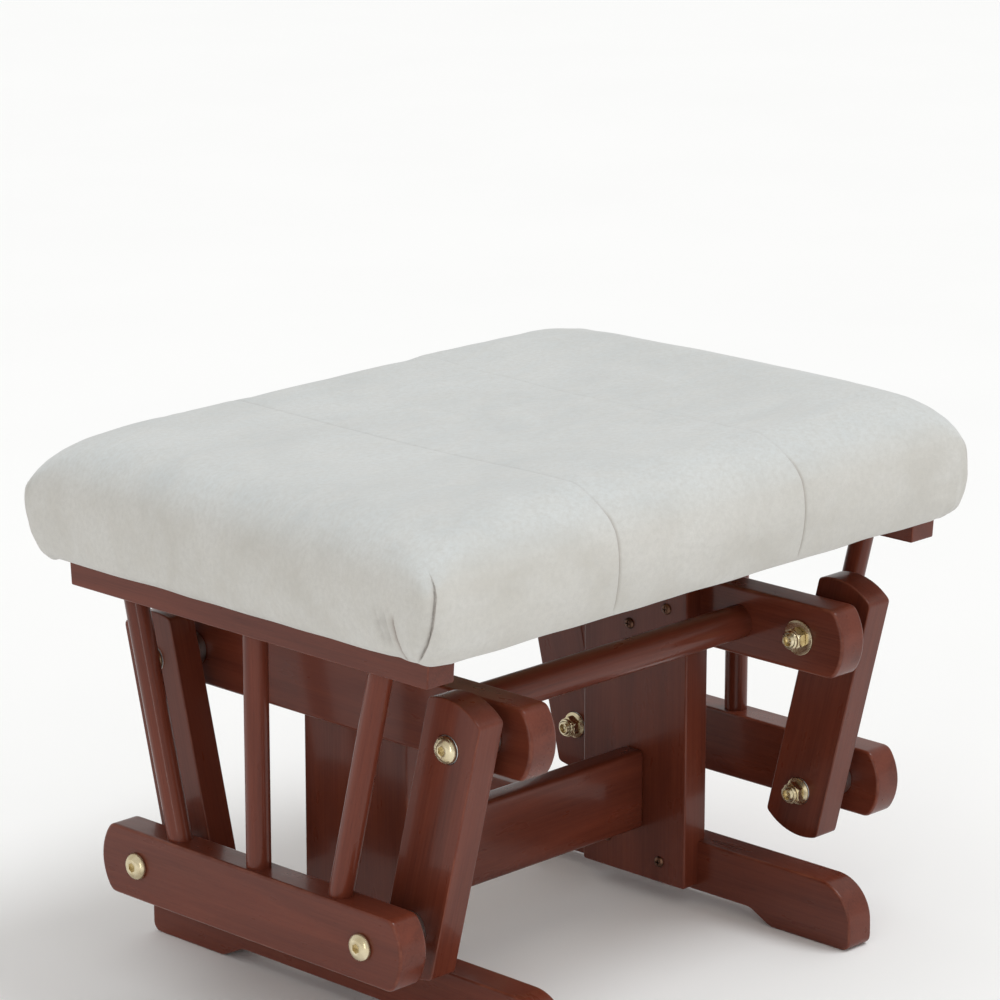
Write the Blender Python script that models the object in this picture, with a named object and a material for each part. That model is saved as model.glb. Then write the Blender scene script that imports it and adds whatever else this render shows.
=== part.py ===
"""Gliding footstool: an upholstered pad on a wooden deck that hangs from a wooden base by four swing arms.

Frame: +X to the right, -Y to the front, +Z up. The origin is on the floor under the stool's centre. Metres.

The base holds two floor runners, two pedestals, two arms, two cross rods and a stretcher. The four swing
arms hang from the base arms on the upper pivots and lean inwards going down. The deck's lower rails sit on
the swing arms' lower pivots, and spindles carry the top rails, the seat board and the cushion.
"""

import math

import bmesh
import bpy
from mathutils import Matrix, Vector

GAP = 0.0003  # clearance between neighbouring solids
ROUND = 16  # sides of a turned piece
NUT_SIDES = 12  # sides of a nut, a multiple of its six flats
NOSE_STEPS = 8  # straight pieces in each rounded end of a board
CUT_PAST = 0.010  # how far a cutter runs past the face it enters
SIDES = {"left": -1, "right": 1}
ENDS = {"front": -1, "rear": 1}

# Deck
RAIL_UNDERSIDE = 0.280
RAIL_HEIGHT = 0.019
RAIL_THICK = 0.024
RAIL_LENGTH = 0.346
RAIL_END_RAKE = math.radians(4)
DECK_OUTER_X = 0.254
DECK_INNER_X = DECK_OUTER_X - RAIL_THICK
DECK_LINE_X = DECK_OUTER_X - RAIL_THICK / 2
SPINDLE_RADIUS = 0.0085
SPINDLE_SPREAD = 0.1197  # Y of an outer spindle at the top rail's underside
SOCKET_DEPTH = 0.010
CROSS_RAIL_Y = 0.105
CROSS_RAIL_THICK = 0.022
CROSS_RAIL_HEIGHT = 0.024
BOARD_HALF = (0.250, 0.1765)
BOARD_THICK = 0.009
CUSHION_HALF = (0.2745, 0.1995)
CUSHION_TOP = 0.386
CUSHION_CORNER = 0.030
CUSHION_LEAST_CORNER = 0.004
RECESS_CORNER = 0.001  # in the hollow that takes the seat board
# How far in from the widest line, and at what share of the height, each level of the cushion's side runs.
CUSHION_LEVELS = (
    (0.0145, 0.0),
    (0.005, 0.25),
    (0.0, 0.5),
    (0.003, 0.68),
    (0.013, 0.84),
    (0.030, 0.93),
    (0.100, 1.0),
)

# Linkage
PIVOT_Y = 0.1432
PIVOT_Z = 0.2228
LEAN = math.radians(13.87)
LOWER_PIVOT_Z = 0.0914
LINK_LENGTH = (PIVOT_Z - LOWER_PIVOT_Z) / math.cos(LEAN)
LOWER_PIVOT_Y = PIVOT_Y - LINK_LENGTH * math.sin(LEAN)
SWING_INNER_X = 0.1846
SWING_THICK = 0.0224
SWING_OUTER_X = SWING_INNER_X + SWING_THICK
SWING_WIDTH = 0.0486
SWING_SHOULDER = 0.027  # from a pivot to the corners of the arched end beyond it
SWING_ARCH = 0.007

# Base
ARM_INNER_X = 0.1441
ARM_THICK = 0.0246
ARM_OUTER_X = ARM_INNER_X + ARM_THICK
ARM_HEIGHT = 0.050
NOSE_RADIUS = 0.039
LOWER_RAIL_NOSE = 0.037
PEDESTAL_INNER_X = 0.1295
PEDESTAL_THICK = 0.0228
PEDESTAL_WIDTH = 0.1006
PEDESTAL_FOOT_Z = 0.014
ROD_RADIUS = 0.0122
ROD_Y = 0.0866
FOOT_HALF_LENGTH = 0.194
FOOT_HEIGHT = 0.048
FOOT_NOSE = 0.030
FOOT_CHAMFER = 0.004  # at the floor, on the runner's ends
RELIEF_HALF = 0.120
RELIEF_SLOPE = 0.020
RELIEF_HEIGHT = 0.010
STRETCHER_THICK = 0.020
STRETCHER_Z = (0.052, 0.112)

# Hardware
BOLT_RADIUS = 0.00475
BOLT_HOLE = 0.0050
HEAD_RADIUS = 0.0095
HEAD_HEIGHT = 0.0050
HEAD_FLAT_RADIUS = 0.0060  # the flat top inside the head's sloping rim
HEAD_RIM = 0.0020  # height of the head's upright side
WASHER_RADIUS = 0.0127
WASHER_THICK = 0.0016
NUT_APOTHEM = 0.00715
NUT_HEX = 0.0068
NUT_COLLAR = 0.0028
NUT_COLLAR_RADIUS = 0.0066
FLANGE_RADIUS = 0.0100
FLANGE_THICK = 0.0018
BARREL_RADIUS = 0.0100
COLLAR_RADIUS = 0.0125
RUNNING_BORE = BOLT_RADIUS + 0.0002
OPEN_BORE = 0.0071  # bore of the rear lower bearings, which leave the linkage free to close
BOLT_TAIL = 0.0015  # the bolt's thread stands this far out of its nut
SCREW_HEAD_RADIUS = 0.0042
SCREW_SHANK_RADIUS = 0.0019
SCREW_HEAD_HEIGHT = 0.0022
SCREW_LENGTH = 0.034
SCREW_POINT = 0.003
SCREW_FLAT_RADIUS = 0.0028  # the flat top inside the head's sloping rim
SCREW_RIM = 0.0008  # height of the head's upright side
SCREW_PLACES = {"front": (-0.0306, 0.2235), "middle": (0.0053, 0.2055)}


def clear_scene():
    for obj in list(bpy.data.objects):
        bpy.data.objects.remove(obj)


def principled(name, colour, roughness, metallic=0.0):
    made = bpy.data.materials.new(name)
    made.use_nodes = True
    shader = made.node_tree.nodes["Principled BSDF"]
    shader.inputs["Base Color"].default_value = (*colour, 1.0)
    shader.inputs["Roughness"].default_value = roughness
    shader.inputs["Metallic"].default_value = metallic
    return made


def empty(name, place):
    made = bpy.data.objects.new(name, None)
    made.location = place
    made.empty_display_size = 0.02
    bpy.context.scene.collection.objects.link(made)
    return made


def add(name, bm, place=(0, 0, 0), turn=None, look=None, parent=None):
    """Turns a bmesh into an object at a world place, parented to an empty without moving it."""
    bmesh.ops.recalc_face_normals(bm, faces=bm.faces)
    mesh = bpy.data.meshes.new(name)
    bm.to_mesh(mesh)
    bm.free()
    mesh.shade_smooth()
    mesh.set_sharp_from_angle(angle=math.radians(35))
    obj = bpy.data.objects.new(name, mesh)
    obj.location = place
    if turn:
        obj.rotation_euler = turn
    bpy.context.scene.collection.objects.link(obj)
    if look:
        mesh.materials.append(look)
    if parent:
        obj.parent = parent
        obj.matrix_parent_inverse = Matrix.Translation(parent.location).inverted()
    return obj


def prism(outline, x_low, x_high):
    """An outline of (y, z) points, extruded from x_low to x_high."""
    bm = bmesh.new()
    face = bm.faces.new([bm.verts.new((x_low, y, z)) for y, z in outline])
    made = bmesh.ops.extrude_face_region(bm, geom=[face])
    moved = [item for item in made["geom"] if isinstance(item, bmesh.types.BMVert)]
    bmesh.ops.translate(bm, verts=moved, vec=(x_high - x_low, 0, 0))
    return bm


def box(low, high):
    (x0, y0, z0), (x1, y1, z1) = low, high
    return prism([(y0, z0), (y1, z0), (y1, z1), (y0, z1)], x0, x1)


def turned(profile, sides=ROUND):
    """A piece turned about the X axis from (x, radius) points.

    A third value "hex" makes that ring a hexagon whose apothem is the radius. A profile that starts and
    ends on the axis is a shaft, and any other one is closed on itself as a ring.
    """
    bm = bmesh.new()
    rings = []
    for x, radius, *shape in profile:
        if radius == 0:
            rings.append([bm.verts.new((x, 0, 0))])
            continue
        ring = []
        for i in range(sides):
            angle = math.tau * i / sides
            reach = radius
            if shape:
                reach = radius / math.cos((angle + math.pi / 6) % (math.pi / 3) - math.pi / 6)
            ring.append(bm.verts.new((x, reach * math.cos(angle), reach * math.sin(angle))))
        rings.append(ring)
    pairs = list(zip(rings, rings[1:]))
    if len(rings[0]) > 1:
        pairs.append((rings[-1], rings[0]))
    for a, b in pairs:
        for i in range(sides):
            j = (i + 1) % sides
            corners = [a[i % len(a)], a[j % len(a)], b[j % len(b)], b[i % len(b)]]
            bm.faces.new(list(dict.fromkeys(corners)))
    return bm


def arc(centre_y, centre_z, radius, start, end, steps):
    """Points along an arc in the YZ plane, with angles in degrees from +Y towards +Z."""
    turn = (end - start) / steps
    angles = [math.radians(start + turn * i) for i in range(steps + 1)]
    return [(centre_y + radius * math.cos(a), centre_z + radius * math.sin(a)) for a in angles]


def nosed_outline(pivot_y, pivot_z, height, nose):
    """A level bar whose two ends are arcs about its own pivots."""
    reach = math.degrees(math.asin(height / 2 / nose))
    front = arc(-pivot_y, pivot_z, nose, 180 - reach, 180 + reach, NOSE_STEPS)
    rear = arc(pivot_y, pivot_z, nose, -reach, reach, NOSE_STEPS)
    return front + rear


def arched_end(sign, shoulder, half_width, arch):
    """The arched end of a swing arm, as (y, z) points about a pivot at the origin."""
    radius = (half_width**2 + arch**2) / (2 * arch)
    reach = math.degrees(math.asin(half_width / radius))
    centre = sign * (shoulder + arch - radius)
    middle = 90 * sign
    return arc(0, centre, radius, middle - reach, middle + reach, NOSE_STEPS)


def bevel(obj, width, segments=1):
    made = obj.modifiers.new("Bevel", "BEVEL")
    made.width = width
    made.segments = segments
    made.limit_method = "ANGLE"
    made.angle_limit = math.radians(40)


def cut(obj, bm, name, place=(0, 0, 0), turn=None):
    """Cuts a bmesh shape out of an object with a hidden cutter."""
    cutter = add(f"cut_{obj.name}_{name}", bm, place, turn)
    cutter.hide_render = True
    cutter.display_type = "WIRE"
    if obj.parent:
        cutter.parent = obj.parent
        cutter.matrix_parent_inverse = Matrix.Translation(obj.parent.location).inverted()
    made = obj.modifiers.new(f"Cut {name}", "BOOLEAN")
    made.object = cutter
    made.operation = "DIFFERENCE"
    made.solver = "EXACT"


def spanned(side, near, far):
    """Lowest and highest X of a piece that runs between two distances out from the centre."""
    return sorted((side * near, side * far))


def plug(side, near, far, radius):
    """A plain cylinder along X between two distances out from the centre, used as a drill."""
    low, high = spanned(side, near, far)
    return turned([(low, 0), (low, radius), (high, radius), (high, 0)])


def outward(side):
    """The turn that points a piece modelled along +X out to its own side."""
    return (0, 0, 0) if side > 0 else (0, 0, math.pi)


def rod_between(low, high, radius):
    """A straight round rod, as a bmesh along X, its place and its turn."""
    low, high = Vector(low), Vector(high)
    length = (high - low).length
    bm = turned([(0, 0), (0, radius), (length, radius), (length, 0)])
    turn = Vector((1, 0, 0)).rotation_difference(high - low).to_euler()
    return bm, low, turn


def base_arm(name, side, look, parent):
    outline = nosed_outline(PIVOT_Y, PIVOT_Z, ARM_HEIGHT, NOSE_RADIUS)
    obj = add(name, prism(outline, *spanned(side, ARM_INNER_X, ARM_OUTER_X)), look=look, parent=parent)
    bevel(obj, 0.003, 2)
    housing_half = PEDESTAL_WIDTH / 2 + GAP
    low, high = spanned(side, ARM_INNER_X - CUT_PAST, PEDESTAL_INNER_X + PEDESTAL_THICK + GAP)
    reach = ARM_HEIGHT
    housing = box((low, -housing_half, PIVOT_Z - reach), (high, housing_half, PIVOT_Z + reach))
    cut(obj, housing, "housing")
    for end, sign in ENDS.items():
        hole = plug(side, ARM_INNER_X - CUT_PAST, ARM_OUTER_X + CUT_PAST, BOLT_HOLE)
        cut(obj, hole, f"{end}_bolt", (0, sign * PIVOT_Y, PIVOT_Z))
        socket = plug(side, ARM_INNER_X - CUT_PAST, ARM_INNER_X + SOCKET_DEPTH, ROD_RADIUS + GAP)
        cut(obj, socket, f"{end}_rod", (0, sign * ROD_Y, PIVOT_Z))
    for place, (y, z) in SCREW_PLACES.items():
        tip = PEDESTAL_INNER_X + SCREW_LENGTH + GAP
        pilot = plug(side, PEDESTAL_INNER_X, tip, SCREW_SHANK_RADIUS + GAP)
        cut(obj, pilot, f"{place}_screw", (0, y, z))


def pedestal(name, side, look, parent):
    half = PEDESTAL_WIDTH / 2
    low, high = spanned(side, PEDESTAL_INNER_X, PEDESTAL_INNER_X + PEDESTAL_THICK)
    top = PIVOT_Z + ARM_HEIGHT / 2 - 0.001
    obj = add(name, box((low, -half, PEDESTAL_FOOT_Z), (high, half, top)), look=look, parent=parent)
    bevel(obj, 0.0012)
    for place, (y, z) in SCREW_PLACES.items():
        far = PEDESTAL_INNER_X + PEDESTAL_THICK + CUT_PAST
        hole = plug(side, PEDESTAL_INNER_X - CUT_PAST, far, SCREW_SHANK_RADIUS + GAP)
        cut(obj, hole, f"{place}_screw", (0, y, z))


def foot(name, side, look, parent):
    """A floor runner: rounded noses, a relieved middle that leaves two pads on the floor, a housing."""
    end = FOOT_HALF_LENGTH
    flat = RELIEF_HALF - RELIEF_SLOPE
    outline = arc(-end + FOOT_NOSE, FOOT_HEIGHT - FOOT_NOSE, FOOT_NOSE, 90, 180, 5)
    outline += [(-end, FOOT_CHAMFER), (-end + FOOT_CHAMFER, 0), (-RELIEF_HALF, 0), (-flat, RELIEF_HEIGHT)]
    outline += [(flat, RELIEF_HEIGHT), (RELIEF_HALF, 0), (end - FOOT_CHAMFER, 0), (end, FOOT_CHAMFER)]
    outline += arc(end - FOOT_NOSE, FOOT_HEIGHT - FOOT_NOSE, FOOT_NOSE, 0, 90, 5)
    obj = add(name, prism(outline, *spanned(side, ARM_INNER_X, ARM_OUTER_X)), look=look, parent=parent)
    bevel(obj, 0.0015)
    housing_half = PEDESTAL_WIDTH / 2 + GAP
    low, high = spanned(side, ARM_INNER_X - CUT_PAST, PEDESTAL_INNER_X + PEDESTAL_THICK + GAP)
    housing = box((low, -housing_half, PEDESTAL_FOOT_Z - GAP), (high, housing_half, FOOT_HEIGHT + CUT_PAST))
    cut(obj, housing, "housing")


def cross_rod(name, y, look, parent):
    reach = ARM_INNER_X + SOCKET_DEPTH - GAP
    bm, place, turn = rod_between((-reach, y, PIVOT_Z), (reach, y, PIVOT_Z), ROD_RADIUS)
    add(name, bm, place, turn, look, parent)


def stretcher(name, look, parent):
    reach, half = PEDESTAL_INNER_X - GAP, STRETCHER_THICK / 2
    bottom, top = STRETCHER_Z
    obj = add(name, box((-reach, -half, bottom), (reach, half, top)), look=look, parent=parent)
    bevel(obj, 0.002)


def spindle_line(place):
    """Where a spindle's centre line meets the top rail's underside and the lower rail's top, as Y values."""
    top = {"front": -SPINDLE_SPREAD, "middle": 0.0, "rear": SPINDLE_SPREAD}[place]
    drop = RAIL_UNDERSIDE - (LOWER_PIVOT_Z + ARM_HEIGHT / 2)
    bottom = top - math.copysign(drop * math.tan(LEAN), top) if top else 0.0
    return top, bottom


def spindle_ends(side, place, extra):
    """The two ends of a spindle's centre line, each carried on into its socket by a given length."""
    top_y, bottom_y = spindle_line(place)
    top = Vector((side * DECK_LINE_X, top_y, RAIL_UNDERSIDE))
    bottom = Vector((side * DECK_LINE_X, bottom_y, LOWER_PIVOT_Z + ARM_HEIGHT / 2))
    along = (top - bottom).normalized()
    return bottom - along * extra, top + along * extra


def drill_spindles(obj, side):
    for place in ("front", "middle", "rear"):
        low, high = spindle_ends(side, place, SOCKET_DEPTH)
        bm, at, turn = rod_between(low, high, SPINDLE_RADIUS + GAP)
        cut(obj, bm, f"{place}_spindle", at, turn)


def top_rail(name, side, look, parent):
    half = RAIL_LENGTH / 2
    over = RAIL_HEIGHT * math.tan(RAIL_END_RAKE)
    low, high = RAIL_UNDERSIDE, RAIL_UNDERSIDE + RAIL_HEIGHT
    outline = [(-half, low), (half, low), (half + over, high), (-half - over, high)]
    obj = add(name, prism(outline, *spanned(side, DECK_INNER_X, DECK_OUTER_X)), look=look, parent=parent)
    bevel(obj, 0.0008)
    drill_spindles(obj, side)


def lower_rail(name, side, look, parent):
    outline = nosed_outline(LOWER_PIVOT_Y, LOWER_PIVOT_Z, ARM_HEIGHT, LOWER_RAIL_NOSE)
    obj = add(name, prism(outline, *spanned(side, DECK_INNER_X, DECK_OUTER_X)), look=look, parent=parent)
    bevel(obj, 0.002)
    drill_spindles(obj, side)
    for end, sign in ENDS.items():
        hole = plug(side, DECK_INNER_X - CUT_PAST, DECK_OUTER_X + CUT_PAST, BOLT_HOLE)
        cut(obj, hole, f"{end}_bolt", (0, sign * LOWER_PIVOT_Y, LOWER_PIVOT_Z))


def spindle(name, side, place, look, parent):
    low, high = spindle_ends(side, place, SOCKET_DEPTH - 2 * GAP)
    bm, at, turn = rod_between(low, high, SPINDLE_RADIUS)
    add(name, bm, at, turn, look, parent)


def deck_cross_rail(name, y, look, parent):
    reach = DECK_INNER_X - GAP
    half = CROSS_RAIL_THICK / 2
    top = RAIL_UNDERSIDE + RAIL_HEIGHT
    bottom = top - CROSS_RAIL_HEIGHT
    obj = add(name, box((-reach, y - half, bottom), (reach, y + half, top)), look=look, parent=parent)
    bevel(obj, 0.0015)


def seat_board(name, look, parent):
    (x, y), low = BOARD_HALF, RAIL_UNDERSIDE + RAIL_HEIGHT + GAP
    obj = add(name, box((-x, -y, low), (x, y, low + BOARD_THICK)), look=look, parent=parent)
    bevel(obj, 0.0006)


def rounded_ring(half_x, half_y, radius, z, steps=4):
    """A level rounded rectangle."""
    ring = []
    for quarter in range(4):
        sign_x = 1 if quarter in (0, 3) else -1
        sign_y = 1 if quarter in (0, 1) else -1
        for i in range(steps + 1):
            angle = math.radians(90 * (quarter + i / steps))
            x = sign_x * (half_x - radius) + radius * math.cos(angle)
            y = sign_y * (half_y - radius) + radius * math.sin(angle)
            ring.append((x, y, z))
    return ring


def cushion(name, look, parent):
    """A crowned pad whose sides tuck in below, open underneath to take the seat board."""
    bottom = RAIL_UNDERSIDE + RAIL_HEIGHT + GAP
    ceiling = bottom + BOARD_THICK + GAP
    board_x, board_y = BOARD_HALF[0] + GAP, BOARD_HALF[1] + GAP
    rings = [
        rounded_ring(board_x, board_y, RECESS_CORNER, ceiling),
        rounded_ring(board_x, board_y, RECESS_CORNER, bottom),
    ]
    half_x, half_y = CUSHION_HALF
    tall = CUSHION_TOP - bottom
    for inset, share in CUSHION_LEVELS:
        radius = max(CUSHION_CORNER - inset * 0.6, CUSHION_LEAST_CORNER)
        rings.append(rounded_ring(half_x - inset, half_y - inset, radius, bottom + tall * share))
    bm = bmesh.new()
    loops = [[bm.verts.new(point) for point in ring] for ring in rings]
    count = len(loops[0])
    for a, b in zip(loops, loops[1:]):
        for i in range(count):
            j = (i + 1) % count
            bm.faces.new((a[i], a[j], b[j], b[i]))
    bm.faces.new(loops[0][::-1])
    bm.faces.new(loops[-1])
    add(name, bm, look=look, parent=parent)


def swing_arm(name, side, sign, look, parent):
    """An arm about its upper pivot, with arched ends and a bore for a bearing at each pivot."""
    half = SWING_WIDTH / 2
    upper = arched_end(1, SWING_SHOULDER, half, SWING_ARCH)
    lower = arched_end(-1, SWING_SHOULDER, half, SWING_ARCH)
    outline = upper + [(y, z - LINK_LENGTH) for y, z in lower]
    pivot = (0, sign * PIVOT_Y, PIVOT_Z)
    turn = (-sign * LEAN, 0, 0)
    obj = add(name, prism(outline, *spanned(side, SWING_INNER_X, SWING_OUTER_X)), pivot, turn, look, parent)
    bevel(obj, 0.0015)
    upper_bore = plug(side, SWING_INNER_X - CUT_PAST, SWING_OUTER_X + CUT_PAST, BARREL_RADIUS + GAP)
    cut(obj, upper_bore, "upper_bore", pivot)
    lower_bore = plug(side, SWING_INNER_X - CUT_PAST, SWING_OUTER_X + CUT_PAST, BARREL_RADIUS + GAP)
    cut(obj, lower_bore, "lower_bore", (0, sign * LOWER_PIVOT_Y, LOWER_PIVOT_Z))


def bearing(name, side, y, z, collar, barrel, bore, look, parent):
    """A sleeve bearing: its barrel fills the swing arm's bore, and its collar spaces the arm from the wood
    beside it. collar and barrel are (near, far) distances out from the centre."""
    parts = sorted((collar, barrel))
    radii = [COLLAR_RADIUS if part == collar else BARREL_RADIUS for part in parts]
    (start, _), (step, end) = parts
    profile = [(start, bore), (start, radii[0]), (step, radii[0])]
    profile += [(step, radii[1]), (end, radii[1]), (end, bore)]
    add(name, turned(profile), (0, y, z), outward(side), look, parent)


def pivot_bolt(name, side, y, z, head_face, tip, look, parent):
    """A bolt with a low domed head. The head's flat face is at head_face and the thread ends at tip, both
    as distances out from the centre."""
    top = head_face + HEAD_HEIGHT
    profile = [
        (top, 0),
        (top - GAP, HEAD_FLAT_RADIUS),
        (head_face + HEAD_RIM, HEAD_RADIUS),
        (head_face, HEAD_RADIUS),
        (head_face, BOLT_RADIUS),
        (tip, BOLT_RADIUS),
        (tip, 0),
    ]
    add(name, turned(profile), (0, y, z), outward(side), look, parent)


def washer(name, side, y, z, outer_face, look, parent):
    inner_face = outer_face - WASHER_THICK
    profile = [
        (inner_face, BOLT_HOLE),
        (inner_face, WASHER_RADIUS),
        (outer_face, WASHER_RADIUS),
        (outer_face, BOLT_HOLE),
    ]
    add(name, turned(profile), (0, y, z), outward(side), look, parent)


def lock_nut(name, side, y, z, outer_face, flange, look, parent):
    """A hexagon nut with a round locking collar, and a flange on its bearing face if asked for."""
    profile = [(outer_face, BOLT_HOLE)]
    hex_start = outer_face
    if flange:
        hex_start = outer_face - FLANGE_THICK
        profile += [(outer_face, FLANGE_RADIUS), (hex_start, FLANGE_RADIUS)]
    hex_end = hex_start - NUT_HEX
    nut_end = hex_end - NUT_COLLAR
    profile += [
        (hex_start, NUT_APOTHEM, "hex"),
        (hex_end, NUT_APOTHEM, "hex"),
        (hex_end, NUT_COLLAR_RADIUS),
        (nut_end, NUT_COLLAR_RADIUS),
        (nut_end, BOLT_HOLE),
    ]
    add(name, turned(profile, NUT_SIDES), (0, y, z), outward(side), look, parent)
    return nut_end


def screw(name, side, y, z, look, parent):
    """A pan-head screw, driven outwards from the pedestal's inner face."""
    seat = PEDESTAL_INNER_X - GAP
    profile = [
        (seat - SCREW_HEAD_HEIGHT, 0),
        (seat - SCREW_HEAD_HEIGHT, SCREW_FLAT_RADIUS),
        (seat - SCREW_RIM, SCREW_HEAD_RADIUS),
        (seat, SCREW_HEAD_RADIUS),
        (seat, SCREW_SHANK_RADIUS),
        (seat + SCREW_LENGTH - SCREW_POINT, SCREW_SHANK_RADIUS),
        (seat + SCREW_LENGTH, 0),
    ]
    add(name, turned(profile, NUT_SIDES), (0, y, z), outward(side), look, parent)


def upper_pivot(tag, side, sign, looks, base, arm):
    """Everything on one upper pivot, from the nut inside the base arm to the bolt's head outside."""
    y, z = sign * PIVOT_Y, PIVOT_Z
    collar = (ARM_OUTER_X + GAP, SWING_INNER_X - GAP)
    barrel = (SWING_INNER_X - GAP, SWING_OUTER_X)
    bearing(f"upper_bearing_{tag}", side, y, z, collar, barrel, RUNNING_BORE, looks["bearing"], arm)
    washer_face = ARM_INNER_X - GAP
    nut_face = washer_face - WASHER_THICK - GAP
    washer(f"upper_washer_{tag}", side, y, z, washer_face, looks["brass"], base)
    nut_end = lock_nut(f"upper_lock_nut_{tag}", side, y, z, nut_face, False, looks["brass"], base)
    tip = nut_end - BOLT_TAIL
    pivot_bolt(f"upper_pivot_bolt_{tag}", side, y, z, SWING_OUTER_X + GAP, tip, looks["brass"], base)


def lower_pivot(tag, side, sign, looks, deck, arm):
    """Everything on one lower pivot, from the nut inside the swing arm to the bolt's head outside."""
    y, z = sign * LOWER_PIVOT_Y, LOWER_PIVOT_Z
    collar = (SWING_OUTER_X + GAP, DECK_INNER_X - GAP)
    barrel = (SWING_INNER_X, SWING_OUTER_X + GAP)
    bore = RUNNING_BORE if sign < 0 else OPEN_BORE
    bearing(f"lower_bearing_{tag}", side, y, z, collar, barrel, bore, looks["bearing"], arm)
    nut_face = SWING_INNER_X - GAP
    nut_end = lock_nut(f"lower_flange_nut_{tag}", side, y, z, nut_face, True, looks["brass"], deck)
    tip = nut_end - BOLT_TAIL
    pivot_bolt(f"lower_pivot_bolt_{tag}", side, y, z, DECK_OUTER_X + GAP, tip, looks["brass"], deck)


def main():
    clear_scene()
    looks = {
        "wood": principled("cherry_wood", (0.105, 0.034, 0.022), 0.32),
        "plywood": principled("plywood", (0.55, 0.40, 0.24), 0.7),
        "fabric": principled("cushion_fabric", (0.60, 0.60, 0.57), 0.9),
        "brass": principled("zinc_yellow_steel", (0.70, 0.53, 0.25), 0.3, 1.0),
        "bearing": principled("bearing_steel", (0.45, 0.45, 0.46), 0.35, 1.0),
        "bronze": principled("bronzed_screw", (0.16, 0.08, 0.05), 0.45, 1.0),
    }
    wood = looks["wood"]
    base = empty("base", (0, 0, 0))
    deck = empty("deck", (-DECK_LINE_X, -LOWER_PIVOT_Y, LOWER_PIVOT_Z))
    for side_name, side in SIDES.items():
        base_arm(f"base_arm_{side_name}", side, wood, base)
        pedestal(f"pedestal_{side_name}", side, wood, base)
        foot(f"foot_{side_name}", side, wood, base)
        top_rail(f"top_rail_{side_name}", side, wood, deck)
        lower_rail(f"lower_rail_{side_name}", side, wood, deck)
        for place in ("front", "middle", "rear"):
            spindle(f"spindle_{side_name}_{place}", side, place, wood, deck)
        for place, (y, z) in SCREW_PLACES.items():
            screw(f"pedestal_screw_{side_name}_{place}", side, y, z, looks["bronze"], base)
        for end, sign in ENDS.items():
            tag = f"{end}_{side_name}"
            arm = empty(f"swing_{tag}", (side * SWING_INNER_X, sign * PIVOT_Y, PIVOT_Z))
            swing_arm(f"swing_arm_{tag}", side, sign, wood, arm)
            upper_pivot(tag, side, sign, looks, base, arm)
            lower_pivot(tag, side, sign, looks, deck, arm)
    stretcher("lower_stretcher", wood, base)
    for end, sign in ENDS.items():
        cross_rod(f"{end}_cross_rod", sign * ROD_Y, wood, base)
        deck_cross_rail(f"deck_cross_rail_{end}", sign * CROSS_RAIL_Y, wood, deck)
    seat_board("seat_board", looks["plywood"], deck)
    cushion("cushion", looks["fabric"], deck)


main()
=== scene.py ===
"""Looks of the gliding footstool: lacquered cherry-stained wood, yellow-zinc hardware and a plush pad."""

import math
import random

import bmesh
import bpy
import numpy as np
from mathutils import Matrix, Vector, noise


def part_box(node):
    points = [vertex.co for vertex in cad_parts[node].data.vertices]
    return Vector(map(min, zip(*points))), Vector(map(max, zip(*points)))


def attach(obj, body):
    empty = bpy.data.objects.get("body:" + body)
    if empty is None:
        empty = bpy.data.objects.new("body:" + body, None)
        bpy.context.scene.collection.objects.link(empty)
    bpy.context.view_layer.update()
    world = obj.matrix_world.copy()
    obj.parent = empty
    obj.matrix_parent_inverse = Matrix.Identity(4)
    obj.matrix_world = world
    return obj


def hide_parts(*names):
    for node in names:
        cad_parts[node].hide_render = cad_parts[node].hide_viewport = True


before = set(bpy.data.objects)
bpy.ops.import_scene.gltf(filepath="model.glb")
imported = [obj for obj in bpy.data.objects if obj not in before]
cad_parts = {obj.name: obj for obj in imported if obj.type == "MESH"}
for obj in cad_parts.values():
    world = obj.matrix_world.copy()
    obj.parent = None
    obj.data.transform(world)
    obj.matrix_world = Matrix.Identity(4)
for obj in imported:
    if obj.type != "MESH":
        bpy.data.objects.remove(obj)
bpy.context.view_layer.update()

SIDES = {"left": -1, "right": 1}
ENDS = {"front": -1, "rear": 1}
MM = 0.001


# ---------------------------------------------------------------- camera, light and floor

CAMERA_PLACE = (-2.0558, -1.9926, 1.0878)
CAMERA_YAW = math.radians(45.745)
CAMERA_PITCH = math.radians(14.945)
CAMERA_LENS = 153.2


def add_camera():
    data = bpy.data.cameras.new("camera")
    data.lens = CAMERA_LENS
    data.sensor_width = 36
    data.clip_end = 100
    camera = bpy.data.objects.new("camera", data)
    camera.location = CAMERA_PLACE
    camera.rotation_euler = (math.pi / 2 - CAMERA_PITCH, 0, -CAMERA_YAW)
    bpy.context.scene.collection.objects.link(camera)
    bpy.context.scene.camera = camera


def add_light(name, place, target, size, power, colour):
    data = bpy.data.lights.new(name, "AREA")
    data.shape = "RECTANGLE"
    data.size, data.size_y = size
    data.energy = power
    data.color = colour
    light = bpy.data.objects.new(name, data)
    light.location = place
    light.rotation_euler = (Vector(target) - Vector(place)).to_track_quat("-Z", "Y").to_euler()
    bpy.context.scene.collection.objects.link(light)


def add_sun(name, towards, strength, spread, colour):
    data = bpy.data.lights.new(name, "SUN")
    data.energy = strength
    data.angle = math.radians(spread)
    data.color = colour
    light = bpy.data.objects.new(name, data)
    light.rotation_euler = Vector(towards).to_track_quat("-Z", "Y").to_euler()
    bpy.context.scene.collection.objects.link(light)


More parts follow.
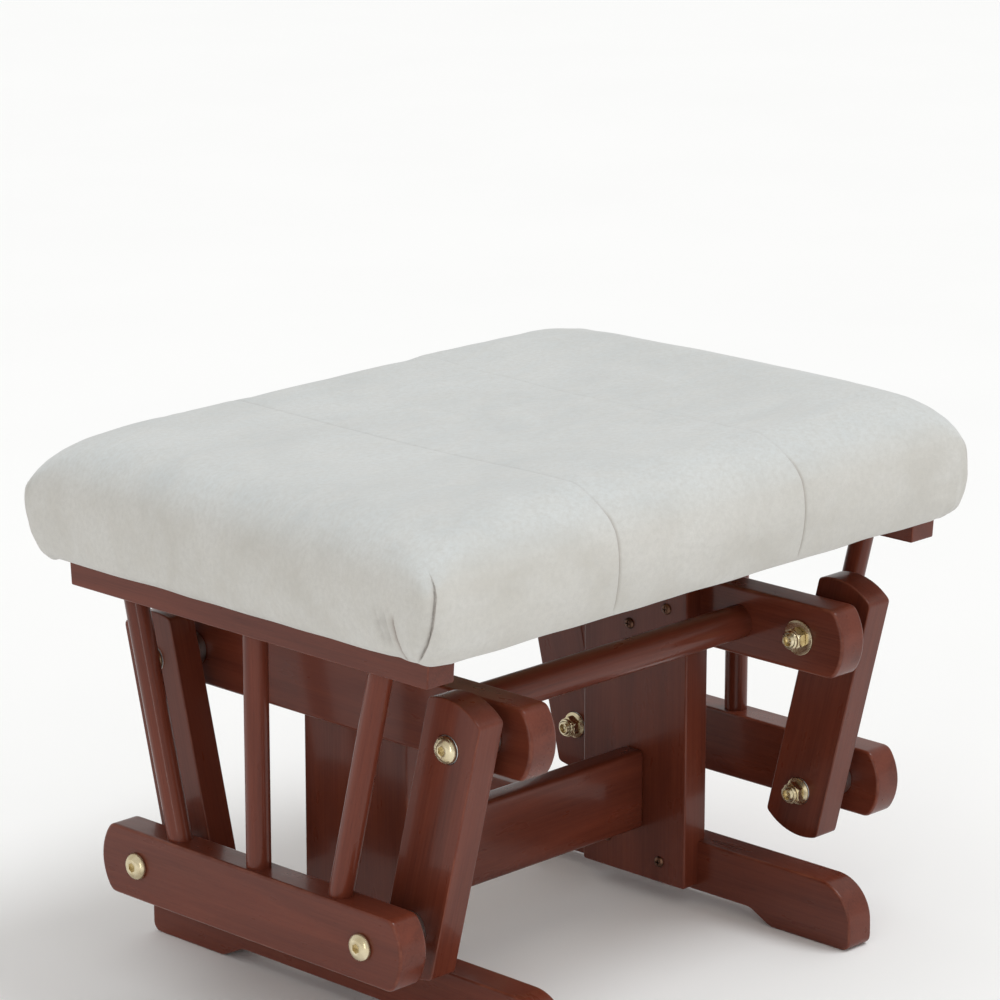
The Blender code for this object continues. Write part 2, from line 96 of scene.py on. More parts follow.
def add_studio():
    world = bpy.data.worlds.new("studio")
    world.use_nodes = True
    back = world.node_tree.nodes["Background"]
    back.inputs["Color"].default_value = (1.0, 0.99, 0.97, 1)
    back.inputs["Strength"].default_value = 0.73
    bpy.context.scene.world = world
    bpy.context.scene.view_settings.view_transform = "Standard"
    centre = (0, 0, 0.25)
    add_sun("key", (-0.30, 0.34, -0.89), 1.08, 26, (0.955, 0.985, 1.0))
    add_light("front_softbox", (0.6, -2.2, 0.9), centre, (0.9, 0.5), 2.0, (1.0, 0.985, 0.96))
    add_light("tall_strip", (-2.5, -1.5, 0.75), centre, (0.28, 1.4), 6.5, (1.0, 0.985, 0.96))


# ---------------------------------------------------------------- materials


class Graph:
    """A material's node tree. Inputs are numbers, colours or other nodes' sockets."""

    def __init__(self, name):
        self.material = bpy.data.materials.new(name)
        self.material.use_nodes = True
        self.tree = self.material.node_tree
        self.shader = self.tree.nodes["Principled BSDF"]

    def put(self, node, key, value):
        socket = node.inputs[key]
        if isinstance(value, bpy.types.NodeSocket):
            self.tree.links.new(value, socket)
        else:
            socket.default_value = value

    def add(self, kind, inputs=(), **settings):
        node = self.tree.nodes.new("ShaderNode" + kind)
        for key, value in settings.items():
            setattr(node, key, value)
        for key, value in dict(inputs).items():
            self.put(node, key, value)
        return node

    def attribute(self, name):
        return self.add("Attribute", attribute_name=name)

    def scaled(self, vector, scale):
        return self.add("VectorMath", {0: vector, 1: scale}, operation="MULTIPLY").outputs[0]

    def noise(self, vector, detail=3, rough=0.55, distort=0.0):
        inputs = {"Vector": vector, "Scale": 1.0, "Detail": detail}
        inputs.update({"Roughness": rough, "Distortion": distort})
        return self.add("TexNoise", inputs).outputs["Fac"]

    def span(self, value, low, high, to_low=0.0, to_high=1.0):
        inputs = {"Value": value, 1: low, 2: high, 3: to_low, 4: to_high}
        return self.add("MapRange", inputs, clamp=True).outputs[0]

    def maths(self, operation, a, b=0.0):
        return self.add("Math", {0: a, 1: b}, operation=operation).outputs[0]

    def mix(self, factor, a, b):
        return self.add("Mix", {"Factor": factor, 6: a, 7: b}, data_type="RGBA").outputs[2]

    def bump(self, height, strength, distance, normal=None):
        inputs = {"Height": height, "Strength": strength, "Distance": distance}
        if normal:
            inputs["Normal"] = normal
        return self.add("Bump", inputs).outputs[0]

    def finish(self, **inputs):
        names = {"color": "Base Color", "coat": "Coat Weight", "coat_roughness": "Coat Roughness"}
        names.update(sheen="Sheen Weight", sheen_roughness="Sheen Roughness", sheen_tint="Sheen Tint")
        names.update(specular="Specular IOR Level")
        for key, value in inputs.items():
            self.put(self.shader, names.get(key, key.capitalize()), value)
        return self.material


def cherry_wood():
    """Red-brown stain under satin lacquer: fine fibres, short pores, broad figure, and edges painted
    lighter as rubbed wear and a painted highlight.
    """
    g = Graph("cherry_wood")
    grain = g.attribute("grain").outputs["Vector"]
    edge = g.attribute("edge").outputs["Fac"]
    figure = g.noise(g.scaled(grain, (3.0, 34.0, 34.0)), detail=4, rough=0.5, distort=1.2)
    fibres = g.noise(g.scaled(grain, (14.0, 620.0, 620.0)), detail=5, rough=0.6)
    pores = g.noise(g.scaled(grain, (110.0, 2600.0, 2600.0)), detail=2)
    blotch = g.noise(g.scaled(grain, (9.0, 16.0, 16.0)), detail=2)
    stain = g.mix(g.span(figure, 0.30, 0.72), (0.080, 0.0170, 0.0092, 1), (0.150, 0.0320, 0.0160, 1))
    stain = g.mix(g.span(fibres, 0.35, 0.75, 0.0, 0.35), stain, (0.215, 0.056, 0.029, 1))
    stain = g.mix(g.span(blotch, 0.35, 0.75, 0.0, 0.35), stain, (0.120, 0.024, 0.013, 1))
    pore = g.span(pores, 0.60, 0.72)
    stain = g.mix(g.maths("MULTIPLY", pore, 0.4), stain, (0.030, 0.009, 0.007, 1))
    # Edges painted a lighter red: partly rubbed wear, partly a painted highlight along each rounded edge.
    rubbed = g.span(g.noise(g.scaled(grain, (60.0, 160.0, 160.0)), detail=4), 0.38, 0.66)
    wear_and_glint = g.maths("MULTIPLY", edge, g.maths("MULTIPLY", rubbed, 0.38))
    stain = g.mix(wear_and_glint, stain, (0.30, 0.098, 0.056, 1))
    smear = g.noise(g.scaled(grain, (22.0, 70.0, 70.0)), detail=3)
    height = g.maths("SUBTRACT", g.maths("MULTIPLY", fibres, 0.5), pore)
    normal = g.bump(height, 0.12, 0.0002)
    return g.finish(
        color=stain, roughness=g.span(smear, 0.3, 0.7, 0.26, 0.38), normal=normal, specular=0.16, coat=0.28,
        coat_roughness=0.12,
    )


def plywood():
    """Raw birch veneer with faint figure."""
    g = Graph("plywood")
    grain = g.attribute("grain").outputs["Vector"]
    figure = g.noise(g.scaled(grain, (4.0, 40.0, 40.0)), detail=5, distort=1.5)
    fibres = g.noise(g.scaled(grain, (20.0, 900.0, 900.0)), detail=4)
    colour = g.mix(g.span(figure, 0.3, 0.7), (0.50, 0.36, 0.21, 1), (0.64, 0.49, 0.31, 1))
    colour = g.mix(g.span(fibres, 0.4, 0.8, 0.0, 0.4), colour, (0.36, 0.24, 0.13, 1))
    roughness = g.span(fibres, 0.2, 0.8, 0.62, 0.8)
    return g.finish(color=colour, roughness=roughness, normal=g.bump(fibres, 0.2, 0.0002))


def plush():
    """Short-pile plush: nap brushed in soft clouds and streaks, with a fine pile and a pale sheen; painted
    top light on upturned faces and painted shade in folds and seams.
    """
    g = Graph("cushion_fabric")
    place = g.add("TexCoord").outputs["Object"]
    clouds = g.noise(g.scaled(place, (9.0, 13.0, 11.0)), detail=4, rough=0.55, distort=0.8)
    strokes = g.noise(g.scaled(place, (26.0, 60.0, 44.0)), detail=4, rough=0.6, distort=0.6)
    fleck = g.noise(g.scaled(place, (240.0, 340.0, 280.0)), detail=4, rough=0.65)
    pile = g.noise(g.scaled(place, (1500.0, 1900.0, 1700.0)), detail=2, rough=0.6)
    # Painted shade: a per-point amount that paints folds and seams dark brown.
    crease = g.attribute("crease").outputs["Fac"]
    # Painted top light: faces that turn up are painted paler and cooler than the upright sides.
    upward = g.attribute("upward").outputs["Fac"]
    shadow = g.mix(upward, (0.530, 0.512, 0.468, 1), (0.560, 0.588, 0.592, 1))
    light = g.mix(upward, (0.615, 0.600, 0.562, 1), (0.625, 0.655, 0.660, 1))
    colour = g.mix(g.span(clouds, 0.34, 0.66), shadow, light)
    colour = g.mix(g.span(strokes, 0.35, 0.7, 0.0, 0.45), colour, (0.665, 0.665, 0.645, 1))
    colour = g.mix(g.span(fleck, 0.38, 0.70, 0.0, 0.42), colour, (0.490, 0.480, 0.450, 1))
    colour = g.mix(g.span(pile, 0.3, 0.7, 0.0, 0.24), colour, (0.430, 0.420, 0.395, 1))
    # Painted shade in folds and seams.
    colour = g.mix(g.maths("MULTIPLY", crease, 0.66), colour, (0.22, 0.165, 0.14, 1))
    height = g.maths("ADD", g.maths("MULTIPLY", fleck, 0.55), g.maths("MULTIPLY", pile, 0.45))
    normal = g.bump(height, 0.40, 0.0007, g.bump(strokes, 0.30, 0.0016))
    rough = g.span(strokes, 0.3, 0.7, 0.82, 0.96)
    return g.finish(
        color=colour, roughness=rough, normal=normal, specular=0.25, sheen=0.35, sheen_roughness=0.45,
        sheen_tint=(1.0, 1.0, 1.0, 1),
    )


def plated(name, bright, dull, rough):
    """Plated or raw steel: patches of bright and dull plating over fine turning marks."""
    g = Graph(name)
    place = g.add("TexCoord").outputs["Object"]
    patches = g.noise(g.scaled(place, (100.0, 100.0, 100.0)), detail=2, distort=0.4)
    marks = g.noise(g.scaled(place, (2700.0, 900.0, 900.0)), detail=3)
    colour = g.mix(g.span(patches, 0.35, 0.68), dull, bright)
    roughness = g.span(patches, 0.3, 0.7, rough + 0.06, rough - 0.04)
    return g.finish(color=colour, metallic=1.0, roughness=roughness, normal=g.bump(marks, 0.02, 0.00001))


def nylon():
    """Milky nylon of a lock nut's ring."""
    g = Graph("nylon_insert")
    place = g.add("TexCoord").outputs["Object"]
    cloud = g.noise(g.scaled(place, (700.0, 700.0, 700.0)), detail=3)
    colour = g.mix(g.span(cloud, 0.3, 0.7), (0.50, 0.47, 0.40, 1), (0.66, 0.63, 0.55, 1))
    roughness = g.span(cloud, 0.3, 0.7, 0.4, 0.55)
    return g.finish(color=colour, roughness=roughness, normal=g.bump(cloud, 0.1, 0.0001))


def pale_floor():
    """A matt studio floor, nearly white."""
    g = Graph("pale_floor")
    place = g.add("TexCoord").outputs["Object"]
    tone = g.noise(g.scaled(place, (3.0, 3.0, 3.0)), detail=2)
    colour = g.mix(g.span(tone, 0.3, 0.7), (0.945, 0.945, 0.945, 1), (0.955, 0.955, 0.955, 1))
    return g.finish(color=colour, roughness=0.9, specular=0.1)


LOOKS = {
    "cherry_wood": cherry_wood(),
    "plywood": plywood(),
    "cushion_fabric": plush(),
    "yellow_zinc_steel": plated("yellow_zinc_steel", (0.80, 0.71, 0.50, 1), (0.60, 0.50, 0.31, 1), 0.24),
    "bearing_steel": plated("bearing_steel", (0.62, 0.62, 0.61, 1), (0.46, 0.46, 0.46, 1), 0.34),
    "bronzed_screw": plated("bronzed_screw", (0.22, 0.12, 0.075, 1), (0.10, 0.05, 0.035, 1), 0.38),
    "nylon": nylon(),
}


# ---------------------------------------------------------------- mesh tools


def mesh_object(name, points, faces, look, edge=None):
    """A closed piece from points and faces, with its outward normals recalculated."""
    bm = bmesh.new()
    layer = bm.verts.layers.float.new("edge")
    verts = [bm.verts.new(point) for point in points]
    if edge is not None:
        for vert, value in zip(verts, edge):
            vert[layer] = value
    for face in faces:
        bm.faces.new([verts[i] for i in face])
    bmesh.ops.recalc_face_normals(bm, faces=bm.faces)
    mesh = bpy.data.meshes.new(name)
    bm.to_mesh(mesh)
    bm.free()
    mesh.materials.append(LOOKS[look])
    mesh.shade_smooth()
    obj = bpy.data.objects.new(name, mesh)
    bpy.context.scene.collection.objects.link(obj)
    return obj


def tube_faces(rings, count):
    """Quads that join rings of count points each, and a face to close each end."""
    faces = []
    for start in range(0, (rings - 1) * count, count):
        for i in range(count):
            j = (i + 1) % count
            faces.append((start + i, start + j, start + count + j, start + count + i))
    faces.append(tuple(reversed(range(count))))
    faces.append(tuple(range((rings - 1) * count, rings * count)))
    return faces


def vectors(mesh, kind):
    values = np.empty(len(mesh.vertices) * 3, np.float32)
    mesh.vertices.foreach_get(kind, values)
    return values.reshape(-1, 3).astype(float)


def coordinates(mesh):
    return vectors(mesh, "co")


def mesh_normals(mesh):
    return vectors(mesh, "normal")


def set_coordinates(mesh, points):
    mesh.vertices.foreach_set("co", points.astype(np.float32).ravel())
    mesh.update()


def set_grain(obj, along):
    """Stores wood coordinates: along the board first, then across it, shifted for each piece."""
    along = Vector(along).normalized()
    across = along.orthogonal().normalized()
    third = along.cross(across)
    shift = random.Random(sum(map(ord, obj.name)))
    offset = np.array([shift.uniform(0, 5) for _ in range(3)])
    axes = np.array([along, across, third], float)
    grain = coordinates(obj.data) @ axes.T + offset
    attribute = obj.data.attributes.new("grain", "FLOAT_VECTOR", "POINT")
    attribute.data.foreach_set("vector", grain.astype(np.float32).ravel())


def settle(obj, body, nodes=()):
    """Fastens a finished piece to its body and hides the model's parts that it stands for."""
    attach(obj, body)
    if nodes:
        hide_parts(*nodes)
    return obj


def apply_modifiers(obj):
    graph = bpy.context.evaluated_depsgraph_get()
    mesh = bpy.data.meshes.new_from_object(obj.evaluated_get(graph))
    old = obj.data
    obj.modifiers.clear()
    obj.data = mesh
    mesh.name = old.name
    bpy.data.meshes.remove(old)


def bore(obj, shapes):
    """Cuts closed mesh objects out of a piece and removes them."""
    for shape in shapes:
        made = obj.modifiers.new("bore", "BOOLEAN")
        made.object = shape
        made.operation = "DIFFERENCE"
        made.solver = "EXACT"
    bpy.context.view_layer.update()
    apply_modifiers(obj)
    for shape in shapes:
        bpy.data.objects.remove(shape)
    obj.data.shade_smooth()
    obj.data.set_sharp_from_angle(angle=math.radians(40))


def soft_outline(points, window, step=0.0008):
    """A closed outline with its corners rounded: it is resampled, averaged along a window, and thinned."""
    points = np.array(points, float)
    closed = np.vstack([points, points[:1]])
    lengths = np.linalg.norm(np.diff(closed, axis=0), axis=1)
    travel = np.concatenate([[0], np.cumsum(lengths)])
    count = int(travel[-1] / step)
    stations = np.linspace(0, travel[-1], count, endpoint=False)
    fine = np.column_stack([np.interp(stations, travel, closed[:, i]) for i in (0, 1)])
    half = max(1, int(window / step / 2))
    for _ in range(2):
        fine = sum(np.roll(fine, k, axis=0) for k in range(-half, half + 1)) / (2 * half + 1)
    kept, last, turned_by = [fine[0]], 0, 0.0
    headings = np.arctan2(*(np.roll(fine, -1, axis=0) - fine).T[::-1])
    for i in range(1, count):
        bend = (headings[i] - headings[i - 1] + math.pi) % math.tau - math.pi
        turned_by += abs(bend)
        if turned_by > math.radians(4) or (i - last) * step > 0.03:
            kept.append(fine[i])
            last, turned_by = i, 0.0
    return np.array(kept)


def inset_outline(points, distance):
    """The outline moved inwards by a distance, mitred. The outline runs anticlockwise."""
    before = points - np.roll(points, 1, axis=0)
    after = np.roll(points, -1, axis=0) - points
    normals = []
    for run in (before, after):
        run = run / np.linalg.norm(run, axis=1)[:, None]
        normals.append(np.column_stack([-run[:, 1], run[:, 0]]))
    share = 1 + (normals[0] * normals[1]).sum(1)
    return points + distance * (normals[0] + normals[1]) / share[:, None]


def board(name, outline, low, high, body, along, radius, nodes, look="cherry_wood", plane="yz", bores=()):
    """A flat board: an outline extruded from low to high, with every edge rounded."""
    outline = np.array(outline, float)
    area = (outline[:, 0] * np.roll(outline[:, 1], -1) - np.roll(outline[:, 0], -1) * outline[:, 1]).sum()
    if area < 0:
        outline = outline[::-1]
    soft = max(0.3 * radius, 0.0003)
    outline = soft_outline(outline, window=2.5 * (radius + soft))
    arc_steps = 4
    side = [(0.0, radius + soft, 0.0)]
    for i in range(arc_steps + 1):
        angle = math.pi / 2 * i / arc_steps
        side.append((radius * (1 - math.cos(angle)), radius * (1 - math.sin(angle)), math.sin(2 * angle)))
    side.append((radius + soft, 0.0, 0.0))
    rings = [(low + depth, inset, edge) for depth, inset, edge in side]
    rings += [(high - depth, inset, edge) for depth, inset, edge in reversed(side)]
    points, edges = [], []
    for depth, inset, edge in rings:
        for a, b in inset_outline(outline, inset):
            points.append((depth, a, b) if plane == "yz" else (a, b, depth))
            edges.append(edge)
    obj = mesh_object(name, points, tube_faces(len(rings), len(outline)), look, edges)
    if bores:
        bore(obj, [drill(*hole) for hole in bores])
    set_grain(obj, along)
    return settle(obj, body, nodes)


def rings_about_x(profile, sides):
    """Points and faces of a shape turned about X. A profile entry is (x, radius) or (x, radius, apothem):
    an apothem trims the ring to a hexagon. A profile that doesn't start on the axis closes on itself."""
    points, rings, faces = [], [], []
    for x, radius, *apothem in profile:
        ring = []
        for i in range(sides if radius > 0 else 1):
            angle = math.tau * i / sides
            reach = radius
            if apothem:
                flat = apothem[0] / math.cos((angle + math.pi / 6) % (math.pi / 3) - math.pi / 6)
                reach = min(radius, flat)
            ring.append(len(points))
            points.append((x, reach * math.cos(angle), reach * math.sin(angle)))
        rings.append(ring)
    pairs = list(zip(rings, rings[1:]))
    if len(rings[0]) > 1:
        pairs.append((rings[-1], rings[0]))
    for a, b in pairs:
        for i in range(sides):
            j = (i + 1) % sides
            corners = (a[i % len(a)], a[j % len(a)], b[j % len(b)], b[i % len(b)])
            faces.append(tuple(dict.fromkeys(corners)))
    return points, faces


def drill(side, near, far, y, z, radius):
    """A closed cylinder along X, as a cutter."""
    points, faces = rings_about_x([(near, 0), (near, radius), (far, radius), (far, 0)], 48)
    points = [(side * x, py + y, pz + z) for x, py, pz in points]
    return mesh_object("drill", points, faces, "cherry_wood")


def turned(name, profile, side, y, z, look, body, nodes=(), sides=48):
    """A turned piece whose X runs outwards from the stool's centre, on an axis at (y, z)."""
    points, faces = rings_about_x(profile, sides)
    points = [(side * x, py + y, pz + z) for x, py, pz in points]
    obj = mesh_object(name, points, faces, look)
    obj.data.set_sharp_from_angle(angle=math.radians(32))
    return settle(obj, body, nodes)


def arc(centre, radius, start, end, steps):
    turn = (end - start) / steps
    angles = [math.radians(start + turn * i) for i in range(steps + 1)]
    return [(centre[0] + radius * math.cos(a), centre[1] + radius * math.sin(a)) for a in angles]


def centre_of(node):
    low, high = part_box(node)
    return (low + high) / 2


def reach_of(node):
    """How far a node starts and ends from the stool's middle plane, along X."""
    low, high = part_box(node)
    return sorted((abs(low.x), abs(high.x)))


# ---------------------------------------------------------------- the wooden parts

PIVOT = centre_of("upper_pivot_bolt_rear_right")
LOWER_PIVOT = centre_of("lower_pivot_bolt_rear_right")
LEAN = math.atan2(PIVOT.y - LOWER_PIVOT.y, PIVOT.z - LOWER_PIVOT.z)


def nosed(stem, side, pivot, edge_radius, body):
    """A level board whose ends are arcs about the pivots it carries."""
    node = f"{stem}_{side}"
    low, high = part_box(node)
    half = (high.z - low.z) / 2
    nose = high.y - pivot.y
    reach = math.degrees(math.asin(half / nose))
    outline = arc((pivot.y, pivot.z), nose, -reach, reach, 40)
    outline += arc((-pivot.y, pivot.z), nose, 180 - reach, 180 + reach, 40)
    board(f"{stem}_wood_{side}", outline, low.x, high.x, body, (0, 1, 0), edge_radius, [node])


def add_nosed_boards():
    for side in SIDES:
        nosed("base_arm", side, PIVOT, 0.0022, "base")
    for side in SIDES:
        nosed("lower_rail", side, LOWER_PIVOT, 0.0020, "deck")


def add_top_rails():
    """The rails that carry the cushion. Their ends rake back a little towards the underside."""
    rake_angle = math.radians(4)
    for side in SIDES:
        node = f"top_rail_{side}"
        low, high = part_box(node)
        rake = (high.z - low.z) * math.tan(rake_angle)
        outline = [(low.y + rake, low.z), (high.y - rake, low.z), (high.y, high.z), (low.y, high.z)]
        board(f"top_rail_wood_{side}", outline, low.x, high.x, "deck", (0, 1, 0), 0.0009, [node])


def rectangle(low_a, high_a, low_b, high_b):
    return [(low_a, low_b), (high_a, low_b), (high_a, high_b), (low_a, high_b)]


def add_plain_boards():
    """Pedestals, the stretcher between them, the deck's cross rails and the plywood seat board."""
    plain = [("pedestal", f"_{side}", "base", (0, 0, 1), 0.0013) for side in SIDES]
    plain.append(("lower_stretcher", "", "base", (1, 0, 0), 0.0020))
    plain += [("deck_cross_rail", f"_{end}", "deck", (1, 0, 0), 0.0015) for end in ENDS]
    for stem, tail, body, along, radius in plain:
        node = stem + tail
        low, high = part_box(node)
        outline = rectangle(low.y, high.y, low.z, high.z)
        board(f"{stem}_wood{tail}", outline, low.x, high.x, body, along, radius, [node])
    low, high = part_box("seat_board")
    outline = rectangle(low.x, high.x, low.y, high.y)
    nodes = ["seat_board"]
    board("seat_board_ply", outline, low.z, high.z, "deck", (1, 0, 0), 0.0008, nodes, "plywood", "xy")


def add_feet():
    """Floor runners: rounded noses and a relieved middle that leaves two pads."""
    relief_half, relief_slope, relief_height = 0.120, 0.020, 0.010
    nose, toe = 0.030, 0.004
    for side in SIDES:
        node = f"foot_{side}"
        low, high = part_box(node)
        end, top = high.y, high.z
        flat = relief_half - relief_slope
        outline = [(end - toe, 0), (end, toe)] + arc((end - nose, top - nose), nose, 0, 90, 14)
        outline += arc((-end + nose, top - nose), nose, 90, 180, 14) + [(-end, toe), (-end + toe, 0)]
        outline += [(-relief_half, 0), (-flat, relief_height), (flat, relief_height), (relief_half, 0)]
        board(f"foot_wood_{side}", outline, low.x, high.x, "base", (0, 1, 0), 0.0016, [node])


def add_swing_arms():
    """Leaning boards with arched ends, bored for their bearings."""
    half, shoulder, rise = 0.0243, 0.027, 0.007
    radius = (half**2 + rise**2) / (2 * rise)
    reach = math.degrees(math.asin(half / radius))
    barrel, past = 0.0102, 0.01
    for end, sign in ENDS.items():
        for side, hand in SIDES.items():
            tag = f"{end}_{side}"
            node = f"swing_arm_{tag}"
            near, far = reach_of(node)
            along = Vector((math.sin(LEAN) * sign, math.cos(LEAN)))
            across = Vector((along.y, -along.x))
            upper = Vector((sign * PIVOT.y, PIVOT.z))
            lower = Vector((sign * LOWER_PIVOT.y, LOWER_PIVOT.z))
            outline = []
            for pivot, way in ((upper, 1), (lower, -1)):
                for x, y in arc((0, shoulder + rise - radius), radius, 90 - reach, 90 + reach, 24):
                    outline.append(pivot + across * x * way + along * y * way)
            holes = [(hand, near - past, far + past, p.x, p.y, barrel) for p in (upper, lower)]
            faces = sorted((hand * near, hand * far))
            grain = (0, along.x, along.y)
            board(f"swing_arm_wood_{tag}", outline, *faces, node, grain, 0.0010, [node], bores=holes)


def rod(name, low, high, radius, body, nodes):
    """A straight round rod between two points, with softened ends."""
    low, high = Vector(low), Vector(high)
    length = (high - low).length
    rounding = [(0, 0), (0, radius - 0.001), (0.0005, radius - 0.0003), (0.001, radius)]
    pieces = 12
    profile = rounding + [(length * i / pieces, radius) for i in range(1, pieces)]
    profile += [(length - x, r) for x, r in reversed(rounding)]
    points, faces = rings_about_x(profile, 48)
    turn = Vector((1, 0, 0)).rotation_difference(high - low)
    obj = mesh_object(name, [turn @ Vector(point) + low for point in points], faces, "cherry_wood")
    set_grain(obj, high - low)
    settle(obj, body, nodes)


def add_rods():
    for end in ENDS:
        node = f"{end}_cross_rod"
        low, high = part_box(node)
        middle = (low + high) / 2
        ends = [(x, middle.y, middle.z) for x in (low.x, high.x)]
        rod(f"{end}_cross_rod_wood", *ends, (high.z - low.z) / 2, "base", [node])
    for side in SIDES:
        for place in ("front", "middle", "rear"):
            node = f"spindle_{side}_{place}"
            low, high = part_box(node)
            radius = (high.x - low.x) / 2
            x = (low.x + high.x) / 2
            lean = {"front": LEAN, "middle": 0.0, "rear": -LEAN}[place]
            half = (high.z - low.z) / 2 - radius * math.sin(abs(lean))
            middle = (low + high) / 2
            shift = half * math.tan(lean)
            ends = [(x, middle.y + shift, middle.z - half), (x, middle.y - shift, middle.z + half)]
            rod(f"spindle_wood_{side}_{place}", *ends, radius, "deck", [node])


# ---------------------------------------------------------------- the hardware

BOLT = 0.00475


def bolt(name, node, hand, body):
    """A low domed head with a hexagon key recess outside, and a threaded tail inside."""
    near, far = reach_of(node)
    middle = centre_of(node)
    head = 0.0095
    seat = far - 0.005
    floor, key = far - 0.0030, (0.0036, 0.0030)
    profile = [(floor, 0), (floor, *key), (far - 0.0002, *key), (far, 0.0040)]
    for drop, radius in ((0.0002, 0.0055), (0.0009, 0.0072), (0.0021, 0.0087), (0.0034, 0.0094)):
        profile.append((far - drop, radius))
    profile += [(seat + 0.0004, head), (seat, head - 0.0004), (seat, BOLT)]
    pitch, threads = 0.0012, 5
    start = near + 0.0008 + threads * pitch
    profile.append((start, BOLT))
    for i in range(threads):
        x = start - i * pitch
        profile += [(x - pitch * 0.5, BOLT - 0.0006), (x - pitch, BOLT)]
    hollow = near + 0.0024
    profile += [(near, BOLT - 0.0008), (near, 0.0036), (near + 0.0004, 0.0034), (hollow, 0.0032)]
    profile += [(hollow, 0.0012), (hollow - 0.0009, 0.0008), (hollow - 0.0009, 0)]
    turned(name, profile, hand, middle.y, middle.z, "yellow_zinc_steel", body, [node])


def washer(name, node, hand, body):
    """A flat washer with one rolled edge, as a punch leaves it."""
    near, far = reach_of(node)
    middle = centre_of(node)
    outer, hole = 0.0127, 0.0051
    profile = [(near, hole + 0.0002), (near, outer - 0.0005), (near + 0.0002, outer - 0.0001)]
    profile += [(near + 0.0005, outer), (far, outer), (far, hole), (near + 0.0002, hole)]
    turned(name, profile, hand, middle.y, middle.z, "yellow_zinc_steel", body, [node], sides=64)


def nut(name, node, hand, body, flanged):
    """A hexagon lock nut with chamfered corners and a rolled collar over a nylon ring."""
    near, far = reach_of(node)
    middle = centre_of(node)
    flat = 0.00715
    corner = flat / math.cos(math.pi / 6)
    base = far
    profile = [(far, BOLT + 0.0003)]
    if flanged:
        base = far - 0.0018
        profile += [(far, 0.0096), (far - 0.0004, 0.0100), (far - 0.0009, 0.0099), (base, 0.0084)]
    else:
        profile += [(far, flat - 0.0003), (far - 0.0002, flat + 0.0002, flat)]
    collar = near + 0.0028
    for drop, radius in ((0.0004, flat + 0.0006), (0.0009, corner - 0.0001), (0.0012, corner)):
        profile.append((base - drop, radius, flat))
    chamfer = ((0.0014, corner), (0.0010, corner - 0.0002), (0.0004, flat + 0.0004), (0.0, flat - 0.0002))
    for rise, radius in chamfer:
        profile.append((collar + rise, radius, flat))
    profile += [(collar, 0.0067), (near + 0.0010, 0.0066), (near + 0.0004, 0.0063), (near, 0.0058)]
    profile += [(near + 0.0001, 0.0054), (near + 0.0006, 0.0052), (near + 0.0006, BOLT + 0.0003)]
    turned(name, profile, hand, middle.y, middle.z, "yellow_zinc_steel", body, [node], sides=72)
    ring = [(near + 0.0008, BOLT + 0.00015), (near + 0.0005, BOLT + 0.0004), (near + 0.0005, 0.0053)]
    ring += [(near + 0.0008, 0.0055), (near + 0.0020, 0.0055), (near + 0.0020, BOLT + 0.00015)]
    turned(f"{name}_insert", ring, hand, middle.y, middle.z, "nylon", body)


def bearing(name, node, hand, arm, inner_bore, collar_out):
    """A steel sleeve: the barrel in the arm's bore and the collar beside it, with shallow grooves."""
    near, far = reach_of(node)
    arm_near, arm_far = reach_of(arm)
    middle = centre_of(node)
    barrel, collar, groove, gap, chamfer = 0.0100, 0.0125, 0.0121, 0.0002, 0.0004
    if collar_out:
        step = arm_far + gap
        wide_start, wide_end = step, far
        first, last = barrel, collar
    else:
        step = arm_near - gap
        wide_start, wide_end = near, step
        first, last = collar, barrel
    third = (wide_end - wide_start) / 3
    grooves = []
    for i in (1, 2):
        x = wide_start + third * i
        grooves += [(x - 0.0007, collar), (x - 0.0004, groove), (x + 0.0004, groove), (x + 0.0007, collar)]
    shoulder = [(step, first), (step, last)]
    profile = [(near, inner_bore), (near, first - chamfer), (near + chamfer, first)]
    profile += shoulder + grooves if collar_out else grooves + shoulder
    profile += [(far - chamfer, last), (far, last - chamfer), (far, inner_bore)]
    turned(name, profile, hand, middle.y, middle.z, "bearing_steel", arm, [node])


def add_pivots():
    for end, sign in ENDS.items():
        for side, hand in SIDES.items():
            tag = f"{end}_{side}"
            arm = f"swing_arm_{tag}"
            bolt(f"upper_bolt_{tag}", f"upper_pivot_bolt_{tag}", hand, "base")
            bolt(f"lower_bolt_{tag}", f"lower_pivot_bolt_{tag}", hand, "deck")
            washer(f"washer_{tag}", f"upper_washer_{tag}", hand, "base")
            nut(f"lock_nut_{tag}", f"upper_lock_nut_{tag}", hand, "base", False)
            nut(f"flange_nut_{tag}", f"lower_flange_nut_{tag}", hand, "deck", True)
            bearing(f"upper_sleeve_{tag}", f"upper_bearing_{tag}", hand, arm, 0.0050, False)
            play = 0.0050 if sign < 0 else 0.0071
            bearing(f"lower_sleeve_{tag}", f"lower_bearing_{tag}", hand, arm, play, True)


